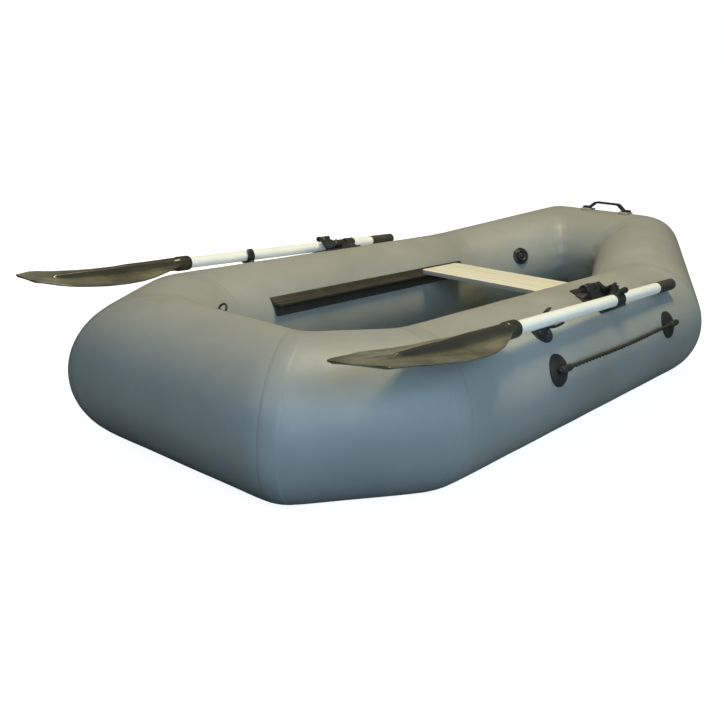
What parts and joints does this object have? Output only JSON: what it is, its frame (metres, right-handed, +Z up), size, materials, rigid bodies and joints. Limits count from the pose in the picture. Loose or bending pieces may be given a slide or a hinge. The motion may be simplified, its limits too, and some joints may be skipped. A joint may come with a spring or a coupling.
{
  "type": "inflatable boat",
  "caption": "Small inflatable rowing boat with a mitred ring of air tubes, sliding plank seat and swivel oarlocks holding spooned oars along the sides.",
  "frame": {"origin": "on the floor under the middle of the boat", "axes": "+X to the bow, +Y to port, +Z up"},
  "size_m": [2.1024, 1.1635, 0.4648],
  "materials": {
    "hull_fabric": "coated boat fabric, grey, satin",
    "bottom_fabric": "coated boat fabric, darker grey, satin",
    "rail_rubber": "black, satin",
    "plywood": "pale plywood, clear matt lacquer",
    "shaft_paint": "white powder coat on tube, semi-gloss",
    "blade_plastic": "dark olive, smoky, glossy",
    "grip_rubber": "dark, fine ribs, matt",
    "lock_plastic": "black, moulded, satin",
    "patch_rubber": "black, matt",
    "rope": "black braided rope, matt",
    "valve_plastic": "black, moulded",
    "handle_webbing": "black, satin"
  },
  "bodies": {
    "hull": {"bow_handle": "handle_webbing", "bow_port_tube": "hull_fabric", "bow_starboard_tube": "hull_fabric", "bow_tube": "hull_fabric", "floor_sheet": "bottom_fabric", "handle_pads": "patch_rubber", "port_lifeline": "rope", "port_line_patches": "patch_rubber", "port_oar_clip": "patch_rubber", "port_oarlock_base": "lock_plastic", "port_seat_rail": "rail_rubber", "port_side_tube": "hull_fabric", "port_valve": "valve_plastic", "starboard_lifeline": "rope", "starboard_line_patches": "patch_rubber", "starboard_oar_clip": "patch_rubber", "starboard_oarlock_base": "lock_plastic", "starboard_seat_rail": "rail_rubber", "starboard_side_tube": "hull_fabric", "starboard_valve": "valve_plastic", "stern_eye": "patch_rubber", "stern_port_tube": "hull_fabric", "stern_starboard_tube": "hull_fabric", "stern_tube": "hull_fabric"},
    "seat": {"seat_board": "plywood"},
    "starboard_arm": {"starboard_oarlock_arm": "lock_plastic"},
    "port_arm": {"port_oarlock_arm": "lock_plastic"},
    "starboard_oar": {"starboard_oarlock_clamp": "lock_plastic", "starboard_clamp_knob": "lock_plastic", "starboard_oar_shaft": "shaft_paint", "starboard_oar_blade": "blade_plastic", "starboard_oar_grip": "grip_rubber"},
    "port_oar": {"port_oarlock_clamp": "lock_plastic", "port_clamp_knob": "lock_plastic", "port_oar_shaft": "shaft_paint", "port_oar_blade": "blade_plastic", "port_oar_grip": "grip_rubber"}
  },
  "joints": [
    {"name": "seat_slide", "type": "slide", "parent": "hull", "child": "seat", "axis": [1, 0, 0], "range_m": [-0.6, 0.035]},
    {"name": "starboard_dip", "type": "hinge", "parent": "hull", "child": "starboard_arm", "pos_m": [0.006, -0.42259, 0.34785], "axis": [-1, 0, 0], "range_deg": [0, 40]},
    {"name": "starboard_swing", "type": "hinge", "parent": "starboard_arm", "child": "starboard_oar", "pos_m": [0.028, -0.46655, 0.35467], "axis": [0, -0.7431, 0.6691], "range_deg": [0, 115], "deforming": ["starboard_oar_clip"]},
    {"name": "port_dip", "type": "hinge", "parent": "hull", "child": "port_arm", "pos_m": [-0.016, 0.42259, 0.34785], "axis": [1, 0, 0], "range_deg": [0, 40]},
    {"name": "port_swing", "type": "hinge", "parent": "port_arm", "child": "port_oar", "pos_m": [-0.038, 0.46655, 0.35467], "axis": [0, -0.7431, -0.6691], "range_deg": [0, 115], "deforming": ["port_oar_clip"]}
  ]
}
